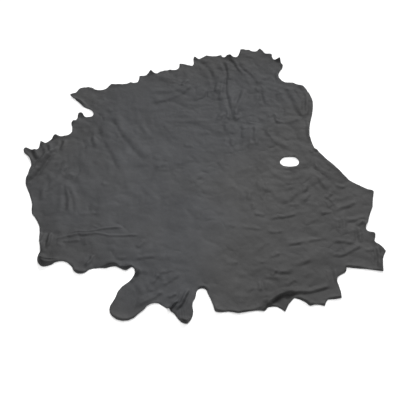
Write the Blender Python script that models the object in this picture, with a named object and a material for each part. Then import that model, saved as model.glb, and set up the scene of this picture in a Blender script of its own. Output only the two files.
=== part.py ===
"""A whole tanned cow hide laid out grain side up on a flat surface.

One sheet of soft upholstery leather: the neck is the end at -X, the butt with the
root of the tail is at +X, and the four shanks reach out along +Y (far side) and
-Y (near side).  The rim is a chain of scallops, drawn in between the tips where the
hide was clamped while it dried.  The sheet lies flat on Z = 0 except along its folds,
at its gathered corners and at the tips that have curled up.

Tables are in millimetres, the model is in metres, +Z is up, and the origin is the
centre of the bounding box in plan, on the surface that the hide lies on.
"""

import math
from collections import namedtuple

import bpy
import numpy as np
from mathutils import Vector
from mathutils.geometry import delaunay_2d_cdt

MM = 0.001

# Sheet
THICKNESS = 1.5          # soft upholstery hide
ARC_TURN = 22.0          # degrees that one straight piece of a scallop turns at most
LONGEST_EDGE = 60.0      # longest straight piece of the rim

# Mesh
FOLD_STEP = 42.0         # spacing of the cross-sections along a fold
FOLD_OFFSETS = (-1.0, -0.55, 0.0, 0.55, 1.0)   # points of one cross-section, in half widths
LIFT_RINGS = ((0.0, 1), (0.4, 7), (0.75, 10), (1.0, 12))   # share of the reach, points
RIM_MARGIN = 9.0         # clear strip between the rim and the points of the folds
POINT_GAP = 11.0         # least distance between two points of the folds
END_TAPER = 0.8          # how quickly a fold grows from its ends; smaller is blunter

# Leather
LEATHER_COLOUR = (0.085, 0.085, 0.087, 1.0)
LEATHER_ROUGHNESS = 0.62

# One scallop of the rim: where it starts, and how far its arc bows out to the start of
# the next one (negative where it is drawn in).
Scallop = namedtuple("Scallop", "x y bow")

# One fold: its two ends, how far its crest bows to the left of the straight line
# between them, the height of the crest and the width over which the sheet is raised.
Fold = namedtuple("Fold", "x0 y0 x1 y1 bow height width")

# One place where the rim has curled up: its middle, its reach and its height.
Lift = namedtuple("Lift", "x y reach height")

# The rim, clockwise from above, starting at the outermost tip of the neck.
# Columns: x, y, bow
FAR_CHEEK = (
    (-1224, 90, 4),
    (-1209, 105, -5),
    (-1133, 92, -8),
    (-1113, 166, -8),
    (-1067, 176, -4),
    (-1021, 238, -9),
    (-927, 248, -9),
    (-905, 300, -4),
    (-920, 362, 9),
    (-888, 398, -3),
    (-880, 457, 12),
)
FAR_FORE_SHANK = (
    (-842, 462, -12),
    (-792, 438, -9),
    (-763, 464, -8),
    (-796, 518, 0),
    (-855, 555, -4),
    (-972, 679, -8),
    (-903, 770, 10),
    (-805, 776, -24),
    (-698, 768, -2),
)
FAR_BELLY = (
    (-661, 821, -4),
    (-540, 822, -5),
    (-508, 846, -12),
    (-450, 845, -4),
    (-440, 910, 5),
    (-390, 924, -6),
    (-349, 974, -24),
    (-281, 972, 3),
    (-200, 1001, -3),
    (-147, 999, -12),
    (-121, 1062, 8),
    (-80, 1076, -5),
    (-10, 1050, -8),
    (-6, 1128, 2),
    (7, 1163, -12),
    (57, 1149, -4),
    (102, 1184, -11),
    (232, 1189, -26),
    (273, 1183, 2),
    (307, 1183, -25),
)
FAR_HIND_SHANK = (
    (371, 1184, -3),
    (393, 1266, 0),
    (470, 1264, -22),
    (543, 1262, 0),
    (560, 1281, 3),
    (600, 1217, -2),
    (638, 1217, 6),
    (655, 1200, -3),
    (661, 1145, -12),
    (715, 1140, 2),
    (722, 1095, 3),
    (735, 1050, 6),
    (708, 985, -33),
)
BUTT = (
    (737, 838, -2),
    (797, 838, -3),
    (835, 812, 3),
    (877, 803, 10),
    (929, 610, 6),
    (897, 425, -6),
    (862, 238, -3),
    (884, 115, -2),
    (1000, -53, -3),
    (1085, -195, -4),
    (1230, -297, 2),
    (1236, -309, -2),
    (1207, -433, -3),
)
NEAR_HIND_SHANK = (
    (1150, -572, -9),
    (1132, -628, 0),
    (1180, -660, 3),
    (1167, -713, -3),
    (1190, -730, 5),
    (1228, -788, -2),
    (1198, -845, -2),
    (1181, -943, -4),
    (956, -913, 6),
    (940, -953, -3),
    (893, -983, -7),
    (890, -1035, 3),
)
NEAR_BELLY = (
    (898, -1128, 2),
    (812, -1138, -4),
    (790, -1182, -9),
    (700, -1181, -10),
    (613, -1127, -7),
    (550, -1221, -3),
    (505, -1186, -3),
    (450, -1190, 2),
    (430, -1216, -6),
    (333, -1220, 0),
    (273, -1231, -8),
    (167, -1224, 3),
    (137, -1216, -4),
    (95, -1095, -36),
)
NEAR_FORE_SHANK = (
    (28, -1100, 5),
    (8, -1155, -4),
    (12, -1220, 9),
    (-23, -1299, 7),
    (-73, -1273, -2),
    (-100, -1235, -2),
    (-193, -1165, -18),
    (-278, -1207, -2),
    (-333, -1260, 25),
    (-463, -1250, 19),
    (-467, -1153, -3),
    (-445, -1085, 4),
    (-400, -1030, -8),
    (-352, -962, -9),
)
NEAR_CHEEK = (
    (-370, -910, -2),
    (-397, -932, 3),
    (-425, -931, -2),
    (-473, -905, -4),
    (-533, -919, -2),
    (-613, -920, -5),
    (-655, -950, 17),
    (-733, -933, -4),
    (-755, -897, -28),
    (-873, -893, 3),
    (-923, -907, 11),
    (-969, -850, 4),
)
NECK = (
    (-960, -795, -3),
    (-979, -717, -3),
    (-1000, -593, -5),
    (-1066, -492, 3),
    (-1077, -413, -3),
    (-1137, -273, 7),
    (-1160, -187, 3),
    (-1148, -55, -4),
    (-1170, 8, -3),
    (-1217, 60, 3),
)
RIM = (
    FAR_CHEEK + FAR_FORE_SHANK + FAR_BELLY + FAR_HIND_SHANK + BUTT
    + NEAR_HIND_SHANK + NEAR_BELLY + NEAR_FORE_SHANK + NEAR_CHEEK + NECK
)

# The one hole, worn through beside the root of the tail: a blunt leaf, clockwise.
HOLE = (
    (620, -30, 12),
    (668, 20, 4),
    (722, 18, 9),
    (757, -25, 10),
    (716, -72, 4),
    (664, -65, 10),
)

# Columns: x0, y0, x1, y1, bow, height, width
FAR_SIDE_FOLDS = (
    (92, 1085, 182, 770, 24, 13, 64),
    (262, 1095, 292, 520, -14, 20, 62),
    (246, 850, 180, 585, 6, 12, 56),
    (322, 1120, 372, 985, 12, 13, 52),
    (392, 1075, 556, 640, 30, 19, 66),
    (372, 760, 318, 470, 8, 12, 56),
    (-12, 822, -300, 606, 46, 15, 76),
    (-345, 932, -96, 838, -16, 14, 60),
    (-400, 818, -84, 740, -18, 9, 56),
    (566, 1010, 640, 760, 14, 9, 70),
    (700, 800, 770, 500, 12, 11, 72),
    (584, 300, 742, 40, -30, 13, 60),
    (470, 420, 392, 120, 16, 9, 60),
)
NECK_FOLDS = (
    (-1128, -205, -940, 185, 26, 34, 92),
    (-1186, 84, -1096, -40, -8, 26, 48),
    (-1090, 150, -1034, -10, -12, 22, 44),
    (-1142, -20, -1098, -250, 10, 16, 44),
    (-990, 222, -936, 90, 8, 18, 44),
    (-742, 470, -300, -20, 24, 19, 72),
    (-745, 262, -496, -60, 10, 15, 66),
    (-470, 400, -310, 210, 10, 9, 54),
    (-772, 420, -738, 118, 8, 11, 52),
    (-912, -110, -842, -500, -14, 13, 56),
    (-826, -300, -778, -520, -10, 10, 48),
    (-1000, -340, -900, -170, 12, 9, 50),
    (-950, -640, -935, -820, -6, 18, 46),
    (-790, -662, -380, -612, 14, 13, 54),
    (-872, -706, -350, -672, 12, 15, 58),
    (-884, -740, -690, -722, 8, 10, 50),
)
NEAR_SIDE_FOLDS = (
    (-240, -1050, -60, -948, 10, 13, 54),
    (-250, -1130, -84, -1010, 12, 11, 50),
    (-122, -1196, -30, -1052, 12, 22, 44),
    (-64, -1224, -4, -1075, 8, 20, 40),
    (-470, -868, -340, -846, -4, 12, 50),
    (-560, -872, -452, -886, 4, 14, 46),
    (-330, -1230, -240, -1140, 6, 10, 46),
    (520, -955, 762, -842, -14, 15, 60),
    (640, -1004, 790, -944, 6, 9, 50),
    (606, -752, 850, -694, 8, 11, 56),
    (900, -832, 1074, -758, -14, 13, 52),
    (480, -846, 572, -784, -6, 9, 50),
    (520, -540, 700, -500, -6, 10, 54),
    (860, -500, 1110, -388, 8, 15, 62),
    (620, -398, 720, -300, 10, 11, 58),
    (748, -392, 818, -220, 12, 11, 54),
    (844, -20, 900, -220, -14, 12, 60),
    (1060, -556, 1124, -520, 0, 12, 48),
    (300, -590, 372, -700, 0, 8, 50),
)
# The deep fold that the butt's near edge has slumped over; it stands higher than the rest.
SLUMP_FOLDS = (
    (408, -1150, 640, -1062, -14, 40, 78),
    (560, -1078, 866, -1036, 20, 34, 74),
)

# Columns: x, y, reach, height
LIFTS = (
    (-1222, 98, 62, 24),
    (-1113, 168, 52, 26),
    (-1022, 236, 60, 22),
    (-862, 468, 62, 20),
    (-968, 680, 70, 12),
    (-350, 968, 56, 14),
    (-112, 1066, 52, 12),
    (4, 1158, 50, 14),
    (292, 1180, 66, 22),
    (560, 1276, 60, 12),
    (714, 1136, 56, 16),
    (1180, -656, 54, 14),
    (1172, -936, 60, 10),
    (432, -1212, 50, 12),
    (-30, -1296, 58, 20),
    (-690, -950, 62, 14),
    (-930, -880, 92, 30),
    (-1150, -196, 60, 20),
)


def clear_scene():
    """Remove every object that is in the scene."""
    for thing in list(bpy.data.objects):
        bpy.data.objects.remove(thing, do_unlink=True)


def arc(start, end, bow, longest=LONGEST_EDGE):
    """Points of the arc from start to end, without the end; bow is to the left."""
    start = np.array(start, float)
    end = np.array(end, float)
    chord = end - start
    length = math.hypot(*chord)
    half_turn = 2.0 * math.atan2(2.0 * abs(bow), length)
    pieces = max(
        math.ceil(math.degrees(2.0 * half_turn) / ARC_TURN),
        math.ceil(length / longest),
        1,
    )
    along = np.arange(pieces)[:, None] / pieces
    left = np.array([-chord[1], chord[0]]) / length
    if abs(bow) < 1e-6:
        return start + along * chord
    radius = length / (2.0 * math.sin(half_turn))
    angle = (2.0 * along - 1.0) * half_turn
    across = radius * (np.cos(angle) - math.cos(half_turn)) * math.copysign(1.0, bow)
    forward = radius * (np.sin(angle) + math.sin(half_turn))
    return start + forward * chord / length + across * left


def closed_loop(rows):
    """Points of a closed chain of scallops."""
    scallops = [Scallop(*row) for row in rows]
    following = scallops[1:] + scallops[:1]
    pieces = [
        arc((here.x, here.y), (there.x, there.y), here.bow)
        for here, there in zip(scallops, following)
    ]
    return np.vstack(pieces)


def crest(fold):
    """Points along the crest of a fold, both ends included."""
    ends = arc((fold.x0, fold.y0), (fold.x1, fold.y1), fold.bow, FOLD_STEP)
    return np.vstack([ends, [(fold.x1, fold.y1)]])


def along_crest(points, line):
    """Share of the crest's length and distance from it, for every point."""
    starts = line[:-1]
    steps = np.diff(line, axis=0)
    lengths = np.hypot(steps[:, 0], steps[:, 1])
    run = np.concatenate([[0.0], np.cumsum(lengths)])
    offset = points[:, None, :] - starts[None]
    reach = (offset * steps).sum(axis=2) / lengths ** 2
    reach = np.clip(reach, 0.0, 1.0)
    gap = offset - reach[..., None] * steps
    distance = np.hypot(gap[..., 0], gap[..., 1])
    nearest = distance.argmin(axis=1)
    rows = np.arange(len(points))
    share = (run[nearest] + reach[rows, nearest] * lengths[nearest]) / run[-1]
    return share, distance[rows, nearest]


def soft_bump(ratio):
    """One at the middle, none from a ratio of one outwards, level at both."""
    return np.cos(0.5 * math.pi * np.clip(np.abs(ratio), 0.0, 1.0)) ** 2


def sheet_height(points, folds, lifts):
    """Height of the underside above the surface, in millimetres, for every point."""
    height = np.zeros(len(points))
    for fold in folds:
        share, distance = along_crest(points, crest(fold))
        growth = np.sin(math.pi * np.clip(share, 0.0, 1.0)) ** END_TAPER
        rise = fold.height * growth * soft_bump(distance / (0.5 * fold.width))
        height = np.maximum(height, rise)
    for lift in lifts:
        distance = np.hypot(points[:, 0] - lift.x, points[:, 1] - lift.y)
        rise = lift.height * soft_bump(distance / lift.reach)
        height = np.hypot(height, rise)
    return height


def cross_sections(fold):
    """Points of the cross-sections of a fold, from foot to foot."""
    line = crest(fold)
    heading = np.gradient(line, axis=0)
    heading /= np.hypot(heading[:, 0], heading[:, 1])[:, None]
    left = np.column_stack([-heading[:, 1], heading[:, 0]])
    half = 0.5 * fold.width
    return np.vstack([line + offset * half * left for offset in FOLD_OFFSETS])


def rings(lift):
    """Points of the rings round a lifted tip."""
    found = []
    for share, count in LIFT_RINGS:
        turn = 2.0 * math.pi * np.arange(count) / count
        ring = np.column_stack([np.cos(turn), np.sin(turn)]) * share * lift.reach
        found.append(ring + (lift.x, lift.y))
    return np.vstack(found)


def inside(points, loop):
    """Whether each point lies inside a closed loop."""
    x, y = points[:, 0:1], points[:, 1:2]
    x0, y0 = loop[:, 0], loop[:, 1]
    x1, y1 = np.roll(x0, -1), np.roll(y0, -1)
    spans = (y0 > y) != (y1 > y)
    rise = np.where(y1 == y0, 1.0, y1 - y0)
    crossing = x0 + (y - y0) * (x1 - x0) / rise
    return (spans & (x < crossing)).sum(axis=1) % 2 == 1


def clearance(points, loop):
    """Distance from each point to a closed loop."""
    return along_crest(points, np.vstack([loop, loop[:1]]))[1]


def thin_out(points, gap):
    """Keep the points, in order, that lie at least the gap from those kept before."""
    kept = np.empty((0, 2))
    for point in points:
        apart = np.hypot(kept[:, 0] - point[0], kept[:, 1] - point[1])
        if not len(kept) or apart.min() >= gap:
            kept = np.vstack([kept, point])
    return kept


def fold_points(folds, lifts, rim, hole):
    """All points inside the sheet that carry the shape of its folds."""
    crests = [cross_sections(fold) for fold in folds]
    points = np.vstack(crests + [rings(lift) for lift in lifts])
    points = points[inside(points, rim) & ~inside(points, hole)]
    points = points[clearance(points, rim) > RIM_MARGIN]
    points = points[clearance(points, hole) > RIM_MARGIN]
    return thin_out(points, POINT_GAP)


def loop_edges(first, count):
    """Index pairs of a closed loop of count points."""
    return [(first + i, first + (i + 1) % count) for i in range(count)]


def triangulate(rim, hole, points):
    """Points and anticlockwise triangles of the sheet in plan, with the hole left open."""
    plan = np.vstack([rim, hole, points])
    edges = loop_edges(0, len(rim)) + loop_edges(len(rim), len(hole))
    result = delaunay_2d_cdt([Vector(point) for point in plan], edges, [], 1, 1e-4)
    plan = np.array([tuple(point) for point in result[0]])
    triangles = np.array([tuple(face) for face in result[2]])
    a, b, c = (plan[triangles[:, k]] for k in range(3))
    centre = (a + b + c) / 3.0
    triangles = triangles[inside(centre, rim) & ~inside(centre, hole)]
    return plan, triangles


def boundary_edges(triangles):
    """Directed edges that belong to one triangle only."""
    edges = np.vstack([triangles[:, [0, 1]], triangles[:, [1, 2]], triangles[:, [2, 0]]])
    known = {tuple(edge) for edge in edges.tolist()}
    return [edge for edge in known if (edge[1], edge[0]) not in known]


def sheet_mesh(name, plan, triangles, height):
    """Closed mesh of the sheet: grain side, flesh side and the cut edge between."""
    count = len(plan)
    lower = np.column_stack([plan, height]) * MM
    upper = lower + (0.0, 0.0, THICKNESS * MM)
    grain = (triangles + count).tolist()
    flesh = triangles[:, ::-1].tolist()
    cut = [(a, b, b + count, a + count) for a, b in boundary_edges(triangles)]
    mesh = bpy.data.meshes.new(name)
    mesh.from_pydata(np.vstack([lower, upper]).tolist(), [], grain + flesh + cut)
    mesh.validate()
    return mesh


def leather():
    """Dark grey dyed leather with a soft sheen."""
    material = bpy.data.materials.new("leather")
    material.use_nodes = True
    surface = material.node_tree.nodes["Principled BSDF"]
    surface.inputs["Base Color"].default_value = LEATHER_COLOUR
    surface.inputs["Roughness"].default_value = LEATHER_ROUGHNESS
    surface.inputs["Metallic"].default_value = 0.0
    return material


def build_hide():
    """The hide as one sheet, with its rim, its hole, its folds and its curled tips."""
    rim = closed_loop(RIM)
    hole = closed_loop(HOLE)
    rows = FAR_SIDE_FOLDS + NECK_FOLDS + NEAR_SIDE_FOLDS + SLUMP_FOLDS
    folds = [Fold(*row) for row in rows]
    lifts = [Lift(*row) for row in LIFTS]
    points = fold_points(folds, lifts, rim, hole)
    plan, triangles = triangulate(rim, hole, points)
    centre = (plan.min(axis=0) + plan.max(axis=0)) / 2.0
    height = sheet_height(plan, folds, lifts)
    mesh = sheet_mesh("hide", plan - centre, triangles, height)
    mesh.materials.append(leather())
    mesh.shade_smooth()
    mesh.set_sharp_from_angle(angle=math.radians(40.0))
    hide = bpy.data.objects.new("hide", mesh)
    bpy.context.scene.collection.objects.link(hide)
    return hide


def main():
    """Build the hide in an empty scene."""
    clear_scene()
    build_hide()


main()
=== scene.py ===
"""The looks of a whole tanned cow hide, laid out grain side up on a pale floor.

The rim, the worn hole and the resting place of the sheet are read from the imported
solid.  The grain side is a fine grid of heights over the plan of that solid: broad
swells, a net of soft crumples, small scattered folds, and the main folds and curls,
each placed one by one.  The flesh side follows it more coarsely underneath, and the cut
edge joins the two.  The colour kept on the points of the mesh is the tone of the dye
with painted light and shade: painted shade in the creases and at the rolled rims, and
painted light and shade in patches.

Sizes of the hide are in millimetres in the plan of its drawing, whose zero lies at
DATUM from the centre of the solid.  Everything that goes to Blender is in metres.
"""

import logging
import math
from dataclasses import dataclass, field
from enum import Enum
from typing import Any

import bpy
import numpy as np
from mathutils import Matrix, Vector
from mathutils.geometry import delaunay_2d_cdt


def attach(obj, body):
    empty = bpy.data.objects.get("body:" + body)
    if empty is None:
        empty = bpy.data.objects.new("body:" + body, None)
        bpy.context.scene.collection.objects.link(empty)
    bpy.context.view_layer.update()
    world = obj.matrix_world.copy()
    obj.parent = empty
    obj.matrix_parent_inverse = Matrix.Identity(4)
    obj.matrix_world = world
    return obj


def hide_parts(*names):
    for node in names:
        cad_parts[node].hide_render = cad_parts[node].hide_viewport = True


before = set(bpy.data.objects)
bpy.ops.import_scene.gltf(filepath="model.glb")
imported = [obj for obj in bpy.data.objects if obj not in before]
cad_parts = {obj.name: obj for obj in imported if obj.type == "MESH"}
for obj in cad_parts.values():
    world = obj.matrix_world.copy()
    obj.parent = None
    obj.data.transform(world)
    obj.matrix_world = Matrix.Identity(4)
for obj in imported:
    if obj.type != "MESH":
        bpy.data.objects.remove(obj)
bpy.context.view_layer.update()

LOG = logging.getLogger("hide")

MM = 0.001
DATUM = np.array([6.1, -9.0])       # centre of the solid in the plan of the drawing
THICKNESS = 1.5                     # of the sheet

# Noise
LATTICE = 128                       # squares after which it repeats
SCATTER = (0.08, 0.92)              # place of a net's point in its square
FURTHEST = 9.0                      # more than any distance to the nearest points

# Lines of the folds
DRAWN_OUT = 0.25                    # of the next span, by which an end is drawn out
DRAWN_OUT_MOST = 35.0               # and the most that it is drawn out by
SOFT_END = 60.0                     # stretch over which a fold grows from its end
SOFT_SHARE = 1.0 / 3.0              # and the most of the line that it takes up

# Sections of the creases
STEP_SHOULDER = 0.1                 # right shoulder of a step, as a share of the left
GROOVE_SHOULDER = 0.6               # right shoulder of a groove
GROOVE_POWER = 6                    # how suddenly a step becomes a groove
BOTTOM = 0.7                        # of a face, from the line to the bottom
PAINTED_SHADE_BOTTOM = 0.35                 # of a face, from the line to the darkest painted shade
PAINTED_SHADE_SHARPNESS = 1.5               # of the band of painted shade
PAINTED_SHADE_LEAST = 0.4                   # share of the painted shade with no right shoulder

# Scattered folds, as shares of the means of their sheaf or in millimetres
LENGTHS = (0.5, 1.6)
HEIGHTS = (0.5, 1.5)
FACES = (12, 17)
BACKS = (36, 64)
WEAVE = 0.07                        # of the length, how far a point is pushed sideways
SCATTER_SEED = 51

# Curls
LIFT_FADING = 22.0                  # distance over which a lifted rim sinks
ROLL_POWER = 1.4                    # how sharply a rolled rim peaks

# Painted shade in the creases
PAINTED_SHADE_DEPTH = 0.014                 # painted shade for a millimetre of fold
PAINTED_SHADE_MOST = 0.3                    # the most that the painted shade darkens a crease


# --------------------------------------------------------------------------- fields


def fade(t: np.ndarray) -> np.ndarray:
    """Quintic blend from 0 to 1, level at both ends; t is clipped first."""
    t = np.clip(t, 0.0, 1.0)
    return t * t * t * (t * (6.0 * t - 15.0) + 10.0)


def swell(x: np.ndarray, y: np.ndarray, cell: float, seed: int) -> np.ndarray:
    """Smooth noise from -1 to 1.

    Random values on a square lattice, blended between the four nearest with the
    quintic fade of the place inside the square.

    Args:
        x: Places across, in millimetres.
        y: Places along, in millimetres.
        cell: Side of a lattice square, in millimetres.
        seed: Which noise.

    Returns:
        The noise at every place.
    """
    table = np.random.default_rng(seed).uniform(-1.0, 1.0, (LATTICE, LATTICE))
    u, v = x / cell, y / cell
    i, j = np.floor(u).astype(int), np.floor(v).astype(int)
    s, t = fade(u - i), fade(v - j)
    left, right = i % LATTICE, (i + 1) % LATTICE
    near, far = j % LATTICE, (j + 1) % LATTICE
    low = table[left, near] * (1 - s) + table[right, near] * s
    high = table[left, far] * (1 - s) + table[right, far] * s
    return low * (1 - t) + high * t


def layered(x: np.ndarray, y: np.ndarray, layers: tuple) -> np.ndarray:
    """Sum of layers of smooth noise, each given by its size, its cell and its seed."""
    return sum(size * swell(x, y, cell, seed) for size, cell, seed in layers)


@dataclass(frozen=True)
class Wander:
    """A value that strays smoothly about its mean.

    Attributes:
        mean: The mean.
        stray: How far it strays at most.
        cell: Side of a lattice square of its noise.
        seed: Which noise.
    """

    mean: float
    stray: float
    cell: float
    seed: int

    def at(self, x: np.ndarray, y: np.ndarray) -> np.ndarray:
        """Value at every place."""
        return self.mean + self.stray * swell(x, y, self.cell, self.seed)


def crumple(x: np.ndarray, y: np.ndarray, cell: float, sharp: float, seed: int) -> np.ndarray:
    """A net of soft creases: 0 on its lines and up to 1 inside its meshes.

    One point is scattered in every lattice square.  The difference between the
    distances to the nearest two points is nothing on the lines between them, and
    1 - exp(-(difference / sharp)^2) rounds the line off.

    Args:
        x: Places across, in millimetres.
        y: Places along, in millimetres.
        cell: Mean size of a mesh, in millimetres.
        sharp: Width of a line, as a share of the cell.
        seed: Which net.

    Returns:
        The net at every place.
    """
    scatter = np.random.default_rng(seed).uniform(*SCATTER, (2, LATTICE, LATTICE))
    u, v = x / cell, y / cell
    i, j = np.floor(u).astype(int), np.floor(v).astype(int)
    nearest = np.full(u.shape, FURTHEST)
    second = np.full(u.shape, FURTHEST)
    for di in (-1, 0, 1):
        for dj in (-1, 0, 1):
            a, b = (i + di) % LATTICE, (j + dj) % LATTICE
            away = np.hypot(i + di + scatter[0, a, b] - u, j + dj + scatter[1, a, b] - v)
            second = np.minimum(second, np.maximum(nearest, away))
            nearest = np.minimum(nearest, away)
    return 1.0 - np.exp(-(((second - nearest) / sharp) ** 2))


class Kind(Enum):
    """What runs along the line of a fold."""

    CREASE = "crease"       # a step up to the line's left, or a groove
    RIDGE = "ridge"         # the crest of a ridge


@dataclass(frozen=True)
class Fold:
    """One fold along a smooth line.

    Attributes:
        kind: Whether the line is a crease or a crest.
        path: Points that the line passes through, in order.
        height: Height of the crest, or of the shoulder on the left of a crease.
        face: Width of a crease's sides, or of a ridge's right flank.
        back: Width over which a shoulder, or a ridge's left flank, sinks away.
    """

    kind: Kind
    path: tuple[tuple[float, float], ...]
    height: float
    face: float
    back: float

    @property
    def other(self) -> float:
        """Height of a crease's right shoulder, as a share of the left one.

        A crease that runs along X is a step and one that runs along Y is a groove.

        Returns:
            The share.
        """
        x, y = np.ptp(np.array(self.path, dtype=float), axis=0)
        groove = (y / math.hypot(x, y)) ** GROOVE_POWER
        return STEP_SHOULDER + (GROOVE_SHOULDER - STEP_SHOULDER) * groove

    def line(self, pieces: int = 6) -> np.ndarray:
        """The path as a Catmull-Rom curve: each span blends four points by cubics.

        Each end is first drawn out, away from the point next to it.

        Args:
            pieces: Straight pieces in each span.

        Returns:
            Points of the curve.
        """
        knots = np.array(self.path, dtype=float)
        for end, inner in ((0, 1), (-1, -2)):
            out = knots[end] - knots[inner]
            knots[end] += out * min(DRAWN_OUT, DRAWN_OUT_MOST / math.hypot(*out))
        first, last = 2 * knots[0] - knots[1], 2 * knots[-1] - knots[-2]
        knots = np.vstack([first, knots, last])
        a, b, c, d = (knots[k: len(knots) - 3 + k, None] for k in range(4))
        t = (np.arange(pieces) / pieces)[None, :, None]
        curve = b + 0.5 * t * (c - a + t * (2 * a - 5 * b + 4 * c - d + t * (3 * (b - c) + d - a)))
        return np.vstack([curve.reshape(-1, 2), knots[-2]])

    def reached(self, x: np.ndarray, y: np.ndarray) -> tuple[np.ndarray, np.ndarray, np.ndarray]:
        """Which places lie near the fold, and where on it they are.

        The place along the line and the distance across it are those of the
        nearest straight piece.  Along the line the fold grows by the fade over its
        soft end, and dies in the same way.

        Args:
            x: Places across.
            y: Places along.

        Returns:
            A mask of the near places, their distance from the line (positive on its
            left) and the growth of the fold there, from 0 to 1.
        """
        line = self.line()
        reach = (1.0 + BOTTOM) * self.face + self.back
        low, high = line.min(axis=0) - reach, line.max(axis=0) + reach
        near = (x > low[0]) & (x < high[0]) & (y > low[1]) & (y < high[1])
        start, side = line[:-1], np.diff(line, axis=0)
        span = np.hypot(*side.T)
        run = np.cumsum(span) - span
        dx = x[near][:, None] - start[:, 0]
        dy = y[near][:, None] - start[:, 1]
        along = np.clip((dx * side[:, 0] + dy * side[:, 1]) / span ** 2, 0.0, 1.0)
        away = np.hypot(dx - along * side[:, 0], dy - along * side[:, 1])
        best = away.argmin(axis=1)
        row = np.arange(len(best))
        left = side[best, 0] * dy[row, best] - side[best, 1] * dx[row, best] > 0
        gone = run[best] + along[row, best] * span[best]
        soft = min(SOFT_END, span.sum() * SOFT_SHARE)
        growth = fade(gone / soft) * fade((span.sum() - gone) / soft)
        return near, np.where(left, 1, -1) * away[row, best], growth

    def rise(self, x: np.ndarray, y: np.ndarray) -> np.ndarray:
        """Height that the fold adds.

        Args:
            x: Places across.
            y: Places along.

        Returns:
            The height at every place, in millimetres.
        """
        near, across, growth = self.reached(x, y)
        found = np.zeros(x.shape)
        found[near] = self.height * growth * self.profile(across)
        return found

    def painted_crease_shade(self, x: np.ndarray, y: np.ndarray) -> np.ndarray:
        """Painted shade in the bottom of a crease: how much darker its colour is made there.

        It is the height of the fold times exp(-(sharpness away / face)^2), away being
        the distance from the darkest line, and a groove takes more of it than a step.

        Args:
            x: Places across.
            y: Places along.

        Returns:
            The painted shade at every place, in millimetres of fold.
        """
        # painted shade: the colour is darkened along the bottom of the crease
        found = np.zeros(x.shape)
        if self.kind is Kind.CREASE:
            near, across, growth = self.reached(x, y)
            away = across + PAINTED_SHADE_BOTTOM * self.face
            band = np.exp(-((PAINTED_SHADE_SHARPNESS * away / self.face) ** 2))
            share = PAINTED_SHADE_LEAST + (1.0 - PAINTED_SHADE_LEAST) * self.other
            found[near] = self.height * growth * band * share
        return found

    def profile(self, across: np.ndarray) -> np.ndarray:
        """Cross section of the fold, 1 at its highest.

        A ridge sinks by the fade on both sides, over the face on its right and the
        back on its left.  In a crease, the bottom lies to the right of the line, so
        that the left side is steepest on the line.  Both shoulders climb from there as
        1 - exp(-(away / face)^2), and from the end of the face on they sink over the
        back by the fade.

        Args:
            across: Distance from the line, positive on its left.

        Returns:
            The height, as a share of the fold's.
        """
        if self.kind is Kind.RIDGE:
            return 1.0 - fade(np.abs(across) / np.where(across > 0, self.back, self.face))
        across = across + BOTTOM * self.face
        away = np.abs(across)
        climb = 1.0 - np.exp(-((away / self.face) ** 2))
        shoulder = climb * (1.0 - fade((away - self.face) / self.back))
        return shoulder * np.where(across > 0, 1.0, self.other)


@dataclass(frozen=True)
class Spot:
    """A round area of the plan.

    Attributes:
        x: Middle, across.
        y: Middle, along.
        reach: Radius.
    """

    x: float
    y: float
    reach: float

    def near(self, x: np.ndarray, y: np.ndarray) -> np.ndarray:
        """How near every place is to the middle: 1 there, and 0 from the reach on."""
        return 1.0 - fade(np.hypot(x - self.x, y - self.y) / self.reach)


@dataclass(frozen=True)
class Curl(Spot):
    """One stretch of the rim that has curled.

    Attributes:
        height: Height of the curl.
        depth: Distance from the rim to the top of the curl; 0 lifts the rim itself.
    """

    height: float
    depth: float

    def rise(self, x: np.ndarray, y: np.ndarray, inset: np.ndarray) -> np.ndarray:
        """Height that the curl adds.

        A lifted rim sinks as exp(-inset / fading).  A rolled one rises from the rim
        as a power of q exp(1 - q), q being the inset over the depth of its top.

        Args:
            x: Places across.
            y: Places along.
            inset: Distance of every place from the rim.

        Returns:
            The height at every place, in millimetres.
        """
        near = self.near(x, y)
        if self.depth == 0:
            return self.height * near * np.exp(-inset / LIFT_FADING)
        ratio = inset / self.depth
        return self.height * near * (ratio * np.exp(1.0 - ratio)) ** ROLL_POWER


def patched(x: np.ndarray, y: np.ndarray, rows: tuple) -> np.ndarray:
    """Sum of changes in round areas, each given by its middle, its reach and its size."""
    return sum(change * Spot(*area).near(x, y) for *area, change in rows)


@dataclass(frozen=True)
class Sheaf(Spot):
    """Small soft folds scattered over one area, all running about one way.

    Attributes:
        turn: Way that the folds run, in degrees anticlockwise from +X.
        spread: How far they stray from it, in degrees.
        count: Number of folds.
        length: Mean length of a fold.
        height: Mean height of a fold.
    """

    turn: float
    spread: float
    count: int
    length: float
    height: float

    def folds(self, chance: np.random.Generator) -> list[Fold]:
        """Draw the folds.

        Each has four points, evenly spread along its way and pushed a little to
        either side of it.

        Args:
            chance: Source of the random numbers.

        Returns:
            The folds of the sheaf.
        """
        found = []
        for _ in range(self.count):
            away, bearing = self.reach * math.sqrt(chance.uniform()), chance.uniform(0, 2 * math.pi)
            turn = math.radians(self.turn + self.spread * chance.normal())
            length = self.length * chance.uniform(*LENGTHS)
            along = length * np.linspace(-0.5, 0.5, 4)
            side = WEAVE * length * chance.normal(size=4)
            x = self.x + away * math.cos(bearing) + along * math.cos(turn) - side * math.sin(turn)
            y = self.y + away * math.sin(bearing) + along * math.sin(turn) + side * math.cos(turn)
            height = self.height * chance.uniform(*HEIGHTS)
            face, back = chance.uniform(*FACES), chance.uniform(*BACKS)
            path = tuple(zip(x, y))
            found.append(Fold(Kind.CREASE, path, height, face, back))
        return found


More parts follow.
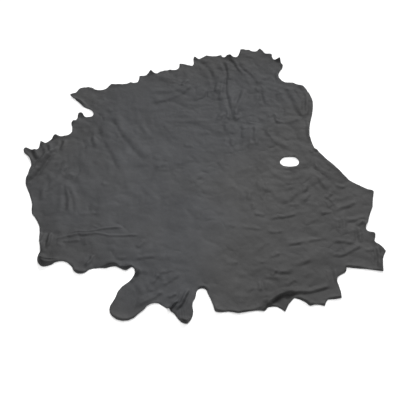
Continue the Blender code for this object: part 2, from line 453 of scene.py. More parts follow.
# The creases, by the part of the hide that they lie in.
# Columns: path, height, face, back
FAR_CREASES = (
    (((60, 1110), (116, 1028), (153, 952), (174, 862), (176, 778), (172, 700)), 5.5, 17, 80),
    (((254, 1092), (274, 977), (266, 845), (267, 714), (281, 605), (296, 500), (291, 410)), 9, 16, 70),
    (((240, 915), (226, 820), (211, 725), (198, 645)), 5, 15, 35),
    (((285, 1142), (312, 1124), (345, 1066), (376, 975), (410, 922)), 6, 15, 45),
    (((372, 1092), (412, 1002), (463, 941), (498, 870), (514, 812)), 7, 17, 80),
    (((495, 795), (488, 735)), 3, 15, 45),
    (((513, 815), (533, 775), (542, 715), (545, 650), (553, 575)), 6, 16, 60),
    (((382, 755), (365, 683), (347, 612), (320, 515), (314, 410)), 10, 18, 60),
    (((345, 350), (362, 322), (378, 300)), 6, 17, 50),
    (((478, 680), (490, 620), (504, 560)), 2, 16, 45),
    (((611, 480), (624, 410), (639, 362)), 8, 16, 50),
    (((730, 765), (762, 667), (776, 590), (800, 500), (835, 428)), 7, 20, 75),
    (((705, 810), (723, 767), (747, 732)), 3, 18, 55),
    (((780, 770), (805, 738), (835, 700)), 4, 18, 55),
    (((658, 592), (655, 470)), 3, 16, 40),
    (((640, 685), (700, 700), (760, 690)), 3, 18, 50),
    (((876, 700), (868, 600), (853, 470)), 8, 16, 45),
    (((608, 376), (696, 366), (755, 382), (818, 407)), 6, 16, 50),
    (((700, 478), (765, 470)), 2, 18, 50),
    (((848, 430), (842, 300), (834, 215)), 3, 14, 35),
    (((659, 970), (663, 905), (680, 840)), 3, 13, 30),
)
FAR_LEFT_CREASES = (
    (((-320, 602), (-261, 609), (-194, 628), (-130, 661), (-75, 712), (-16, 792)), 9, 22, 95),
    (((-93, 698), (-39, 743), (-17, 778)), 5, 18, 50),
    (((-2, 634), (36, 640), (70, 660), (97, 719), (108, 778)), 8, 20, 70),
    (((-336, 923), (-264, 880), (-181, 840), (-111, 813)), 3.5, 18, 55),
    (((-283, 910), (-197, 882), (-101, 854)), 4, 18, 60),
    (((-82, 800), (-38, 860)), 10, 16, 45),
    (((-340, 718), (-220, 722), (-105, 738)), 6, 22, 65),
    (((-60, 576), (50, 566), (150, 579)), 3, 20, 60),
    (((-470, 528), (-330, 508), (-200, 520)), 3, 24, 70),
    (((-676, 532), (-643, 497), (-613, 462)), 2.5, 18, 55),
    (((-955, 655), (-890, 617), (-845, 567)), 12, 12, 30),
)
NECK_CREASES = (
    (((-612, 440), (-582, 370), (-546, 300), (-494, 208), (-445, 125), (-392, 55), (-350, -5)), 7, 20, 110),
    (((-741, 490), (-691, 450), (-659, 418)), 2.5, 18, 55),
    (
        (
            (-700, 345), (-694, 300), (-676, 250), (-656, 198),
            (-622, 126), (-588, 66), (-548, -30), (-515, -92),
        ),
        5.5, 18, 90,
    ),
    (((-518, -150), (-508, -100)), 3, 18, 50),
    (((-428, 392), (-416, 370), (-385, 309), (-338, 247)), 5, 20, 60),
    (((-773, 355), (-770, 300), (-766, 250)), 3, 20, 55),
    (((-752, 230), (-727, 135)), 5.5, 15, 45),
    (((-978, -51), (-933, -33), (-893, -15)), 3, 16, 40),
    (
        (
            (-992, -362), (-1005, -310), (-970, -265), (-928, -215),
            (-912, -165), (-902, -108), (-868, -62),
        ),
        10, 18, 55,
    ),
    (((-874, -134), (-844, -164)), 7, 16, 40),
    (((-289, 23), (-249, -2)), 4, 18, 45),
    (((-710, -20), (-680, -50)), 2.5, 18, 45),
    (((-885, -228), (-863, -308), (-846, -375), (-840, -440), (-852, -472), (-870, -508)), 6.5, 15, 50),
    (((-858, -232), (-840, -284), (-812, -348), (-796, -412), (-785, -482)), 6, 15, 45),
    (((-760, -503), (-632, -496), (-590, -482)), 4, 16, 45),
    (((-635, -215), (-600, -245), (-560, -235)), 6, 18, 45),
    (((-646, -330), (-626, -420), (-636, -480)), 2.5, 18, 45),
    (((-330, -297), (-275, -350), (-240, -364)), 3, 18, 50),
    (((-395, -332), (-345, -335)), 1.5, 18, 45),
)
NECK_TIP_CREASES = (
    (((-1172, 92), (-1145, 50), (-1112, 5)), 19, 18, 45),
    (((-1082, 113), (-1062, 53)), 4, 15, 35),
    (((-1062, 150), (-1030, 62)), 8, 15, 35),
    (((-960, 205), (-956, 155), (-968, 92)), 10, 15, 40),
    (((-1193, -198), (-1135, -233), (-1095, -278)), 5, 18, 60),
    (((-1140, -212), (-1112, -172), (-1085, -112), (-1062, -52), (-1040, 2), (-1010, 58)), 20, 17, 60),
)
NEAR_LEFT_CREASES = (
    (((-675, -572), (-642, -594), (-600, -609)), 4, 13, 22),
    (
        (
            (-785, -650), (-740, -640), (-690, -637), (-640, -630),
            (-610, -622), (-572, -612), (-470, -610),
        ),
        8, 12, 20,
    ),
    (
        (
            (-878, -708), (-830, -685), (-780, -672), (-740, -661), (-690, -657),
            (-625, -651), (-570, -660), (-535, -670), (-440, -670), (-350, -667),
        ),
        7, 13, 22,
    ),
    (((-832, -722), (-790, -716), (-740, -712), (-705, -708)), 7, 14, 24),
    (((-985, -838), (-940, -852), (-905, -860), (-865, -855), (-825, -840)), 14, 9, 18),
    (((-880, -733), (-852, -752), (-810, -757)), 3.5, 14, 30),
    (((-705, -705), (-675, -745)), 1.6, 14, 35),
    (((-520, -700), (-470, -745), (-440, -770)), 2.5, 14, 40),
    (((-922, -640), (-926, -690), (-931, -730), (-940, -768)), 16, 13, 30),
    (((-985, -640), (-990, -700)), 8, 12, 22),
    (((-930, -600), (-915, -560), (-885, -548), (-855, -552)), 4.5, 15, 45),
    (((-486, -852), (-420, -848), (-350, -854), (-265, -839), (-205, -832)), 3, 14, 35),
    (((-350, -856), (-303, -846), (-238, -832)), 3.5, 14, 40),
    (((-675, -835), (-660, -862), (-664, -890)), 2, 14, 35),
    (((-630, -815), (-640, -850), (-668, -890)), 11, 12, 30),
    (((-580, -764), (-520, -769)), 2.5, 14, 40),
    (((-292, -780), (-202, -790)), 1.5, 16, 45),
    (((-347, -776), (-325, -752), (-295, -706)), 9, 16, 45),
    (((-225, -835), (-180, -850), (-120, -838), (-80, -828)), 3, 16, 45),
)
SHANK_CREASES = (
    (((-205, -974), (-175, -953), (-140, -942), (-100, -930)), 6, 14, 45),
    (((-240, -1038), (-215, -1000), (-194, -965)), 10, 14, 35),
    (((-188, -1054), (-145, -1027), (-101, -992), (-62, -954)), 6, 14, 40),
    (((-180, -1020), (-140, -990), (-110, -955)), 3, 14, 35),
    (((-180, -920), (-130, -912), (-80, -925), (-30, -935), (20, -940)), 2, 15, 40),
    (((-136, -1132), (-110, -1117), (-86, -1102)), 7, 12, 30),
    (((-155, -1246), (-108, -1188), (-74, -1145)), 28, 10, 30),
    (((-80, -1152), (-68, -1120), (-55, -1085)), 5, 10, 20),
    (((-88, -1215), (-60, -1180), (-46, -1155), (-30, -1115), (-8, -1062)), 17, 11, 30),
    (((-330, -1204), (-288, -1172), (-249, -1147), (-214, -1126), (-194, -1105), (-155, -1088)), 11, 17, 45),
    (((-281, -1022), (-261, -1080)), 6, 17, 45),
    (((-345, -945), (-300, -950), (-265, -962)), 7, 18, 45),
    (((-68, -1266), (-64, -1212)), 3, 6, 7),
    (((-30, -1266), (-34, -1212)), 3, 6, 7),
    (((-86, -1262), (-80, -1214)), 3, 6, 7),
    (((-49, -1268), (-49, -1210)), 3, 6, 7),
)
BUTT_CREASES = (
    (((452, 335), (454, 239), (446, 150)), 10, 16, 50),
    (((431, 285), (413, 184), (400, 95)), 5, 16, 50),
    (((530, 290), (566, 218), (592, 172), (640, 138), (690, 100), (722, 66)), 5.5, 16, 55),
    (((508, 336), (528, 306), (556, 274)), 3, 17, 50),
    (((274, 212), (276, 140)), 6, 16, 45),
    (((200, 402), (238, 475)), 9, 18, 50),
    (((225, 385), (236, 300)), 3, 18, 50),
    (((190, 268), (250, 264), (320, 272)), 4, 17, 45),
    (((600, -84), (680, -92), (755, -76)), 3, 14, 40),
    (((590, -122), (680, -134), (768, -108)), 1.5, 14, 40),
    (((520, -68), (560, -137), (608, -180), (690, -192), (770, -165)), 4, 16, 45),
    (((845, -40), (868, -94), (903, -132), (940, -149)), 3, 16, 40),
    (((861, -157), (888, -225), (913, -292)), 9, 18, 50),
    (((983, -252), (1038, -269)), 6, 17, 45),
    (((845, 218), (869, 198)), 5, 14, 35),
    (((880, 110), (890, 80)), 9, 14, 35),
    (((443, -280), (489, -286), (542, -313), (570, -385)), 3.5, 17, 50),
    (((494, -215), (485, -285)), 6, 16, 45),
    (((386, -400), (394, -448)), 5, 17, 45),
    (((262, -250), (308, -296)), 3, 17, 45),
    (((155, -216), (222, -232)), 2.5, 17, 45),
    (((375, -295), (372, -368)), 7, 14, 40),
    (((595, -313), (645, -283), (705, -275)), 2, 17, 45),
    (((944, -27), (989, -87), (1034, -127)), 4.5, 15, 40),
)
NEAR_RIGHT_CREASES = (
    (((622, -397), (674, -366), (715, -319), (772, -295), (802, -232)), 8, 17, 60),
    (((752, -392), (784, -348), (812, -316)), 5.5, 16, 45),
    (((640, -430), (715, -417)), 4.5, 15, 40),
    (((508, -541), (577, -526), (657, -508), (705, -492)), 8, 13, 40),
    (((410, -503), (441, -502), (475, -515)), 7, 13, 35),
    (((742, -574), (800, -552), (850, -530)), 1.5, 14, 40),
    (((848, -501), (898, -489), (928, -472)), 7, 14, 45),
    (((950, -482), (1000, -452), (1044, -436), (1081, -415), (1112, -386)), 9, 16, 50),
    (((916, -367), (939, -336), (959, -317)), 10, 16, 45),
    (((921, -359), (954, -431), (971, -453)), 6, 13, 30),
    (((985, -385), (1040, -358), (1090, -335)), 2.5, 15, 40),
    (((484, -643), (526, -646), (585, -641)), 6.5, 13, 35),
    (((225, -592), (262, -601), (303, -613)), 3.5, 14, 40),
    (((312, -601), (398, -617), (470, -624)), 4, 14, 40),
    (((316, -653), (354, -694)), 2.5, 15, 40),
    (((600, -747), (676, -733), (728, -719), (808, -704), (850, -697)), 7, 13, 40),
    (((830, -685), (869, -703)), 3, 14, 35),
    (((900, -715), (963, -719), (1040, -734)), 6, 13, 40),
    (((979, -508), (986, -562), (978, -636)), 6, 14, 35),
    (((1004, -550), (1063, -548), (1105, -536), (1158, -530)), 8, 20, 45),
    (((1080, -600), (1098, -578), (1124, -572), (1132, -612)), 14, 17, 35),
    (((1068, -600), (1070, -650), (1065, -715)), 10, 13, 40),
    (((1150, -700), (1175, -730)), 2, 14, 35),
    (((870, -829), (914, -829), (960, -822), (1000, -799), (1042, -775), (1085, -750)), 8, 13, 45),
    (((1100, -787), (1146, -787)), 5, 14, 35),
    (((1168, -740), (1166, -800), (1160, -860), (1152, -920)), 12, 12, 30),
    (((402, -795), (455, -759), (502, -731)), 5, 15, 45),
    (((480, -827), (523, -826), (558, -801)), 9, 14, 45),
    (((389, -894), (448, -879)), 3, 14, 40),
    (((498, -977), (516, -952), (536, -932)), 9, 13, 30),
    (((526, -954), (589, -953), (620, -934), (642, -922)), 8, 14, 45),
    (((640, -905), (695, -883), (752, -857)), 9, 15, 50),
    (((676, -985), (710, -970), (760, -955)), 3, 14, 40),
    (((583, -1047), (617, -1018), (644, -1003)), 8, 14, 35),
    (((446, -986), (503, -994), (548, -1011)), 5, 13, 40),
    (((427, -1070), (423, -1015)), 8, 14, 35),
    (((872, -925), (869, -1005)), 8, 14, 35),
    (((210, -880), (257, -888), (292, -873)), 5, 15, 40),
    (((210, -940), (252, -919)), 3, 15, 40),
    (((300, -984), (356, -959)), 3, 15, 40),
    (((240, -1122), (285, -1122), (352, -1133)), 2.5, 15, 40),
    (((327, -1080), (397, -1060)), 5, 15, 40),
)
# The butt's near edge has slumped over on itself.
SLUMP_CREASES = (
    (((345, -1211), (400, -1192), (442, -1166)), 9, 12, 30),
    (((430, -1180), (470, -1160), (505, -1135), (540, -1112), (590, -1100), (630, -1094)), 24, 14, 55),
    (((560, -1107), (620, -1093), (680, -1088), (725, -1086), (775, -1070), (838, -1049)), 11, 12, 40),
    (((425, -1118), (470, -1108), (515, -1092), (570, -1060)), 4, 12, 24),
    (((600, -1070), (655, -1062), (705, -1066)), 3, 12, 24),
)
MIDDLE_CREASES = (
    (((-210, 388), (-60, 380), (50, 385), (180, 380)), 4, 17, 50),
    (((40, 262), (115, 258)), 4, 16, 45),
    (((-62, 128), (-8, 128)), 6, 18, 50),
    (((98, 75), (142, 72)), 3, 15, 45),
    (((-112, -66), (-40, -32), (35, 2)), 4, 20, 60),
    (((-255, -76), (-182, -54)), 6, 18, 50),
    (((-3, -227), (40, -185), (80, -155)), 6, 18, 50),
)
CREASES = (
    *FAR_CREASES, *FAR_LEFT_CREASES, *NECK_CREASES, *NECK_TIP_CREASES, *NEAR_LEFT_CREASES,
    *SHANK_CREASES, *BUTT_CREASES, *NEAR_RIGHT_CREASES, *SLUMP_CREASES, *MIDDLE_CREASES,
)

# The ridges.  Columns: path, height, face, back
RIDGES = (
    (((-1150, -190), (-1122, -100), (-1086, -15), (-1045, 60), (-990, 118)), 12, 30, 34),
    (((862, -18), (890, -72), (930, -108), (965, -150)), 4, 22, 26),
    (((860, 420), (858, 300), (850, 180)), 2, 14, 16),
)

# The curled stretches of the rim.  Columns: x, y, reach, height, depth
CURLS = (
    (-1222, 98, 60, 14, 0),
    (-1116, 150, 46, 24, 0),
    (-1024, 230, 48, 17, 0),
    (-862, 466, 50, 18, 0),
    (-905, 385, 40, 10, 0),
    (-980, 690, 60, 12, 0),
    (-352, 962, 56, 20, 0),
    (-437, 900, 40, 8, 0),
    (-118, 1060, 46, 10, 0),
    (4, 1150, 46, 14, 0),
    (298, 1168, 52, 12, 0),
    (715, 1136, 52, 20, 0),
    (735, 1045, 40, 8, 0),
    (735, 24, 42, 4, 0),
    (1178, -658, 46, 14, 0),
    (1232, -306, 50, 8, 0),
    (-935, -890, 95, 36, 24),
    (-870, -862, 55, 12, 12),
    (-972, -760, 60, 18, 16),
    (-690, -956, 66, 13, 11),
    (-500, -905, 80, 26, 15),
    (-400, -926, 60, 24, 14),
    (-348, -950, 44, 22, 16),
    (-42, -1294, 60, 24, 16),
    (-400, -1278, 120, 5, 12),
    (72, -1066, 44, 18, 14),
    (150, -1218, 60, 12, 12),
    (250, -1222, 60, 7, 10),
    (320, -1228, 50, 10, 12),
    (450, -1195, 60, 14, 14),
    (660, -1140, 60, 10, 12),
    (700, -1160, 50, 10, 12),
    (1000, -915, 90, 10, 12),
    (860, -1130, 60, 10, 12),
    (790, -1178, 40, 10, 12),
    (-1170, -215, 60, 14, 16),
    (-1185, -100, 60, 8, 14),
    (864, 300, 90, 5, 14),
)

# Lighter and darker areas: tone of the dye, painted light and painted shade.  Columns: x, y, reach, change
TONE_AND_PAINTED_SHADING = (
    # Broad patches, partly tone of the dye and partly painted light and shade
    (420, 1250, 700, -0.32),
    (800, 800, 380, -0.16),
    (-20, 900, 500, -0.06),
    (-1000, -150, 460, 0.05),
    (-550, -150, 560, 0.07),
    (150, -350, 500, 0.04),
    (950, -600, 500, 0.07),
    # Painted shade on the near faces of curled and rolled rims, the slumped fold, creases and the hole
    (-900, -880, 200, -0.14),
    (-480, -900, 240, -0.12),
    (560, -1170, 260, -0.18),
    (-40, -1220, 180, -0.12),
    (-945, -885, 62, -0.45),
    (-975, -800, 45, -0.25),
    (-985, -845, 40, -0.35),
    (1192, -785, 42, -0.32),
    (-690, -955, 50, -0.20),
    (-500, -900, 60, -0.22),
    (-405, -925, 60, -0.30),
    (-345, -945, 40, -0.30),
    (-45, -1296, 36, -0.45),
    (-110, -1205, 50, -0.25),
    (-60, -1160, 60, -0.12),
    (-1100, 90, 110, -0.16),
    (-1150, -195, 60, -0.25),
    (-1075, -60, 60, -0.14),
    (310, 1125, 60, -0.25),
    (440, -1180, 60, -0.25),
    (510, -1140, 50, -0.20),
    (728, 30, 26, -0.60),
    (725, 1130, 40, -0.25),
    (-890, 450, 45, -0.20),
    # Painted light on two lit swells
    (-480, 60, 110, 0.07),
    (-670, 90, 90, 0.05),
)

# Bluer areas of the dye.  Columns: x, y, reach, change
BLUES = (
    (-200, 350, 1100, 1.3),
    (-400, -650, 800, 0.8),
    (250, 800, 500, 0.4),
    (600, 800, 560, 0.9),
    (380, 350, 420, 0.4),
    (-1000, -300, 650, 0.6),
    (-150, -1050, 480, 0.9),
    (60, -550, 420, 0.6),
)

# The scattered folds.  Columns: x, y, reach, turn, spread, count, length, height
SHEAVES = (
    (60, 900, 200, -70, 16, 9, 220, 1.0),
    (270, 820, 220, -85, 14, 14, 240, 1.2),
    (480, 860, 220, -60, 16, 14, 220, 1.2),
    (720, 640, 230, -70, 22, 22, 190, 1.2),
    (-250, 760, 260, 20, 20, 10, 240, 0.9),
    (50, 560, 200, 25, 18, 9, 210, 1.1),
    (20, 350, 240, 0, 14, 12, 280, 1.0),
    (400, 450, 240, -75, 30, 24, 200, 1.2),
    (600, 250, 240, -50, 34, 18, 190, 1.2),
    (-600, 350, 300, -60, 20, 16, 220, 0.9),
    (-300, 200, 250, -50, 20, 8, 200, 0.7),
    (-900, 80, 160, 65, 20, 9, 170, 1.3),
    (-900, -350, 260, -80, 22, 16, 180, 1.1),
    (-550, -200, 260, -45, 24, 12, 190, 0.8),
    (-100, -100, 300, 20, 30, 10, 180, 0.7),
    (200, 100, 230, 20, 30, 16, 190, 1.0),
    (450, -250, 260, -20, 32, 16, 180, 1.0),
    (800, -300, 280, 30, 34, 24, 170, 1.1),
    (950, -100, 180, -45, 22, 10, 170, 1.3),
    (-600, -680, 320, 5, 20, 26, 180, 1.1),
    (-250, -850, 220, 10, 24, 14, 170, 1.0),
    (-170, -1080, 180, 40, 16, 8, 160, 1.2),
    (550, -650, 320, 5, 22, 26, 180, 0.9),
    (950, -600, 240, 20, 30, 18, 170, 1.1),
    (350, -950, 260, 25, 22, 18, 180, 1.0),
    (700, -950, 240, 25, 22, 18, 180, 1.1),
)

# Areas of stronger and weaker crumples.  Columns: x, y, reach, change
PATCHES = (
    (-430, 600, 330, -0.7),
    (-150, 150, 420, -0.35),
    (-300, -350, 420, -0.25),
    (430, 250, 330, 0.5),
    (750, -250, 380, 0.4),
    (780, -650, 420, 0.4),
    (-700, -700, 260, 0.3),
    (-380, -1180, 170, -0.6),
    (540, 1120, 200, -0.4),
)
LEAST_STRENGTH = 0.25               # of the crumples, in the calmest areas

# Layers of smooth noise.  Columns: size, cell, seed
PUSH_ACROSS = ((4.0, 75.0, 11), (2.0, 31.0, 12))
PUSH_ALONG = ((4.0, 75.0, 13), (2.0, 31.0, 14))
BROAD_SWELLS = ((2.0, 330.0, 21), (2.4, 150.0, 22))
SMALL_SWELLS = ((2.4, 82.0, 23), (1.5, 47.0, 24), (0.6, 25.0, 25))
BEND_ACROSS = ((34.0, 140.0, 31), (9.0, 40.0, 32))
BEND_ALONG = ((34.0, 140.0, 33), (9.0, 40.0, 34))
RIM_WAVES = ((2.6, 26.0, 41), (1.4, 13.0, 42))
DYE_CLOUDS = ((0.020, 210.0, 61), (0.016, 64.0, 62))
BLUE_CLOUDS = ((0.15, 130.0, 63),)

# Nets of soft creases, each masked in places.
# Columns: depth, cell, width of a line, seed, mask
NETS = (
    (3.0, 165.0, 0.20, 35, Wander(0.5, 0.9, 120.0, 37)),
    (1.5, 74.0, 0.25, 36, Wander(0.45, 0.9, 85.0, 38)),
)


@dataclass
class Relief:
    """How high the sheet lies at every place of its plan.

    Attributes:
        folds: The folds that are placed one by one.
        sheaves: Areas of small, scattered folds.
        curls: All curled stretches of the rim.
        lie: Mean height at which the sheet lies between its folds.
        nearer: How much nearer the folds lie than their lines were drawn.
        vigour: Strength of the placed folds.
        lip: Height of the lip of the rim.
        lip_top: Distance from the rim to the top of its lip.
        waviness: Strength of the small waves of the rim.
        wave_fading: Distance from the rim over which they die away.
    """

    folds: tuple[Fold, ...] = tuple(
        [Fold(Kind.CREASE, *row) for row in CREASES] + [Fold(Kind.RIDGE, *row) for row in RIDGES]
    )
    sheaves: tuple[Sheaf, ...] = tuple(Sheaf(*row) for row in SHEAVES)
    curls: tuple[Curl, ...] = tuple(Curl(*row) for row in CURLS)
    lie: float = 5.0
    nearer: float = 6.0
    vigour: Wander = Wander(0.95, 0.2, 60.0, 15)
    lip: Wander = Wander(2.6, 2.4, 55.0, 44)
    lip_top: float = 9.0
    waviness: Wander = Wander(0.6, 0.4, 150.0, 43)
    wave_fading: float = 16.0

    def height(self, x: np.ndarray, y: np.ndarray, inset: np.ndarray) -> np.ndarray:
        """Height of the flesh side above the floor, never below nothing.

        The places are first pushed about by smooth noise, so that no fold runs
        true.  Swells, crumples, folds, curls and the frill of the rim are added,
        and the sum u is kept off the floor as (u + sqrt(u^2 + 1)) / 2.

        Args:
            x: Places across.
            y: Places along.
            inset: Distance of every place from the rim or the hole.

        Returns:
            The height at every place, in millimetres.
        """
        wx, wy = self.pushed(x, y)
        total = self.lie + self.swells(x, y) - self.crumples(wx, wy)
        total += self.frill(x, y, inset)
        vigour = self.vigour.at(x, y)
        for fold in self.folds:
            total += vigour * fold.rise(wx, wy)
        for fold in self.scattered():
            total += fold.rise(wx, wy)
        for curl in self.curls:
            total += curl.rise(x, y, inset)
        return 0.5 * (total + np.sqrt(total * total + 1.0))

    def pushed(self, x: np.ndarray, y: np.ndarray) -> tuple[np.ndarray, np.ndarray]:
        """The places after smooth noise has pushed them about."""
        return x + layered(x, y, PUSH_ACROSS), y + self.nearer + layered(x, y, PUSH_ALONG)

    def scattered(self) -> list[Fold]:
        """The small folds of all the sheaves, the same in every run."""
        chance = np.random.default_rng(SCATTER_SEED)
        return [fold for sheaf in self.sheaves for fold in sheaf.folds(chance)]

    def swells(self, x: np.ndarray, y: np.ndarray) -> np.ndarray:
        """Low waves of the whole sheet, of which the small ones go with the crumples."""
        return layered(x, y, BROAD_SWELLS) + self.strength(x, y) * layered(x, y, SMALL_SWELLS)

    def crumples(self, x: np.ndarray, y: np.ndarray) -> np.ndarray:
        """Depth of the nets of soft creases.

        Args:
            x: Places across.
            y: Places along.

        Returns:
            The depth at every place, in millimetres.
        """
        bent_x = x + layered(x, y, BEND_ACROSS)
        bent_y = y + layered(x, y, BEND_ALONG)
        total = np.zeros(x.shape)
        for depth, cell, width, seed, mask in NETS:
            lines = 1.0 - crumple(bent_x, bent_y, cell, width, seed)
            total += depth * lines * fade(mask.at(x, y))
        return self.strength(x, y) * total

    @staticmethod
    def strength(x: np.ndarray, y: np.ndarray) -> np.ndarray:
        """How strong the crumples are at every place."""
        return np.maximum(1.0 + patched(x, y, PATCHES), LEAST_STRENGTH)

    def shade(self, x: np.ndarray, y: np.ndarray) -> np.ndarray:
        """How light the colour is at every place, as a share of its mean: the tone of the dye
        with painted light and shade.

        Clouds and the patches of tone and of painted light and shade are added to 1.  The
        painted shade of the creases then darkens that by most tanh(crease shade / most), which
        levels off at the most.

        Args:
            x: Places across.
            y: Places along.

        Returns:
            The share at every place.
        """
        wx, wy = self.pushed(x, y)
        # painted shade in the bottoms of the creases
        painted_crease_shades = PAINTED_SHADE_DEPTH * sum(fold.painted_crease_shade(wx, wy) for fold in self.folds)
        # tone of the dye with painted light and shade in patches
        tone_and_painted_patches = 1.0 + layered(x, y, DYE_CLOUDS) + patched(x, y, TONE_AND_PAINTED_SHADING)
        return tone_and_painted_patches * (1.0 - PAINTED_SHADE_MOST * np.tanh(painted_crease_shades / PAINTED_SHADE_MOST))

    @staticmethod
    def blue(x: np.ndarray, y: np.ndarray) -> np.ndarray:
        """How blue the dye is at every place, from 0 to 1."""
        return np.clip(patched(x, y, BLUES) + layered(x, y, BLUE_CLOUDS), 0.0, 1.0)

    def frill(self, x: np.ndarray, y: np.ndarray, inset: np.ndarray) -> np.ndarray:
        """Lip and small waves that the drying drew into the rim.

        The lip rises from the rim as q exp(1 - q), q being the inset over the
        distance of its top.  The waves die away as exp(-inset / fading).

        Args:
            x: Places across.
            y: Places along.
            inset: Distance of every place from the rim.

        Returns:
            The height at every place, in millimetres.
        """
        ratio = inset / self.lip_top
        lip = ratio * np.exp(1.0 - ratio) * self.lip.at(x, y)
        waves = layered(x, y, RIM_WAVES) * np.exp(-inset / self.wave_fading)
        return lip + waves * self.waviness.at(x, y)


# ----------------------------------------------------------------------- plan shapes


def loop_distance(
    x: np.ndarray, y: np.ndarray, loops: list[np.ndarray], reach: float = 160.0
) -> np.ndarray:
    """Distance from every place to the nearest side of some closed loops.

    The plan is worked through in square tiles, each with only the sides that pass
    within reach of it, because further in the distance no longer matters.

    Args:
        x: Places across.
        y: Places along.
        loops: The loops.
        reach: Greatest distance that is told apart.

    Returns:
        The distance of every place, at most reach.
    """
    start = np.vstack(loops)
    side = np.vstack([np.roll(loop, -1, axis=0) - loop for loop in loops])
    square = (side ** 2).sum(axis=1)
    found = np.full(x.shape, reach)
    tile, slack = 200.0, 10.0
    for left in np.arange(x.min(), x.max(), tile):
        for low in np.arange(y.min(), y.max(), tile):
            here = (x >= left) & (x <= left + tile) & (y >= low) & (y <= low + tile)
            off = np.abs(start - [left + tile / 2, low + tile / 2]).max(axis=1)
            near = off < reach + tile / 2 + slack
            if not here.any() or not near.any():
                continue
            dx = x[here][:, None] - start[near, 0]
            dy = y[here][:, None] - start[near, 1]
            ux, uy = side[near].T
            along = np.clip((dx * ux + dy * uy) / square[near], 0.0, 1.0)
            away = np.hypot(dx - along * ux, dy - along * uy).min(axis=1)
            found[here] = np.minimum(found[here], away)
    return found


def rows_inside(x: np.ndarray, y: np.ndarray, loop: np.ndarray) -> np.ndarray:
    """Whether the places of a grid lie in a closed loop.

    Each row lies at one y.  A place is inside when an odd number of the loop's
    sides cross the row to its left.

    Args:
        x: Places across, one row for each y.
        y: Places along.
        loop: The loop.

    Returns:
        True inside, for every place.
    """
    x0, y0 = loop.T
    x1, y1 = np.roll(loop, -1, axis=0).T
    found = np.zeros(x.shape, dtype=bool)
    for row, level in enumerate(y[:, 0]):
        cut = (y0 > level) != (y1 > level)
        cross = x0[cut] + (level - y0[cut]) * (x1[cut] - x0[cut]) / (y1[cut] - y0[cut])
        found[row] = np.searchsorted(np.sort(cross), x[row]) % 2 == 1
    return found


def resampled(loop: np.ndarray, step: float, rounding: float) -> np.ndarray:
    """A closed loop at even steps, with its corners rounded.

    The points are moved to even distances along the loop and then averaged with
    their neighbours under a bell curve.

    Args:
        loop: Points of the loop.
        step: Distance between the new points.
        rounding: Half width of the bell curve.

    Returns:
        Points of the new loop.
    """
    closed = np.vstack([loop, loop[:1]])
    run = np.concatenate([[0.0], np.cumsum(np.hypot(*np.diff(closed, axis=0).T))])
    count = int(run[-1] / step)
    at = np.arange(count) * run[-1] / count
    even = np.column_stack([np.interp(at, run, closed[:, k]) for k in (0, 1)])
    neighbours = 4
    spread = np.arange(-neighbours, neighbours + 1)
    weights = np.exp(-0.5 * (spread * step / rounding) ** 2)
    shifted = [w * np.roll(even, k, axis=0) for k, w in zip(spread, weights)]
    return np.sum(shifted, axis=0) / weights.sum()


@dataclass
class Plan:
    """Outline of the sheet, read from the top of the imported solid.

    Attributes:
        node: Name of the solid.
        step: Spacing of the points along the loops.
        rounding: How far the corners are rounded.
        upward: Least upward share of the normal of a face on the grain side.
        loops: The rim and the hole.
    """

    node: str = "hide"
    step: float = 5.5
    rounding: float = 4.0
    upward: float = 1e-3
    loops: list[np.ndarray] = field(init=False)

    def __post_init__(self) -> None:
        """Read the loops: the rim first, because it is the widest."""
        found = self.chains(self.top_edges())
        found.sort(key=lambda loop: -np.ptp(loop[:, 0]))
        self.loops = [resampled(loop, self.step, self.rounding) for loop in found]

    def top_edges(self) -> tuple[np.ndarray, np.ndarray]:
        """Edges that only one face of the grain side has.

        Returns:
            The distinct points in plan, and the directed edges between them.
        """
        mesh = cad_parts[self.node].data
        points = np.empty(len(mesh.vertices) * 3)
        mesh.vertices.foreach_get("co", points)
        mesh.calc_loop_triangles()
        corners = np.empty(len(mesh.loop_triangles) * 3, dtype=int)
        mesh.loop_triangles.foreach_get("vertices", corners)
        points = np.round(points.reshape(-1, 3) / MM, 3)
        faces = points[corners.reshape(-1, 3)]
        normal = np.cross(faces[:, 1] - faces[:, 0], faces[:, 2] - faces[:, 0])
        top = faces[normal[:, 2] > self.upward * np.linalg.norm(normal, axis=1)]
        plan, index = np.unique(top[..., :2].reshape(-1, 2), axis=0, return_inverse=True)
        index = index.reshape(-1, 3)
        edges = np.vstack([index[:, [0, 1]], index[:, [1, 2]], index[:, [2, 0]]])
        key = edges[:, 0] * len(plan) + edges[:, 1]
        back = edges[:, 1] * len(plan) + edges[:, 0]
        return plan + DATUM, edges[~np.isin(key, back)]

    @staticmethod
    def chains(found: tuple[np.ndarray, np.ndarray]) -> list[np.ndarray]:
        """Join directed edges into closed loops.

        Args:
            found: Points and edges.

        Returns:
            The points of each loop in order.
        """
        plan, edges = found
        following = dict(edges.tolist())
        loops = []
        while following:
            start, here = following.popitem()
            chain = [start]
            while here != start:
                chain.append(here)
                here = following.pop(here)
            loops.append(plan[chain])
        return loops


# --------------------------------------------------------------------------- shaders


